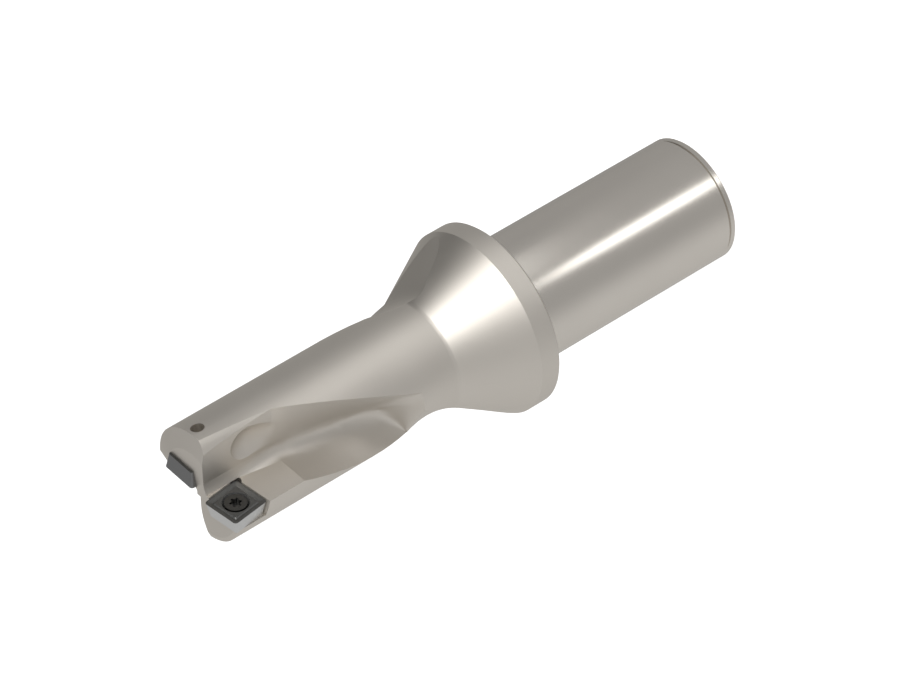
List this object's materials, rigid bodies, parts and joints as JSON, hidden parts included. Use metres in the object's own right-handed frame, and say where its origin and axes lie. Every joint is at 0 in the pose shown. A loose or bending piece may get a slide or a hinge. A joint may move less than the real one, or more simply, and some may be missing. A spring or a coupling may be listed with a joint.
{
  "type": "indexable drill",
  "caption": "Fluted steel drill body with a round shank and a flange, and square carbide inserts screwed into pockets at its tip.",
  "frame": {"origin": "centre of the shank's rear face, on the drill's axis", "axes": "+Z along the drill's axis towards the tip, +X towards the outer insert, +Y the way the outer insert's cutting face looks"},
  "size_m": [0.0472, 0.0472, 0.1515],
  "materials": {
    "plated_steel": "satin nickel plate, slightly warm",
    "coated_carbide": "dark grey coated carbide",
    "dark_steel": "blackened steel"
  },
  "bodies": {
    "root": {"drill_body": "plated_steel", "outer_insert": "coated_carbide", "outer_insert_screw": "dark_steel", "central_insert": "coated_carbide", "central_insert_screw": "dark_steel"}
  },
  "joints": []
}
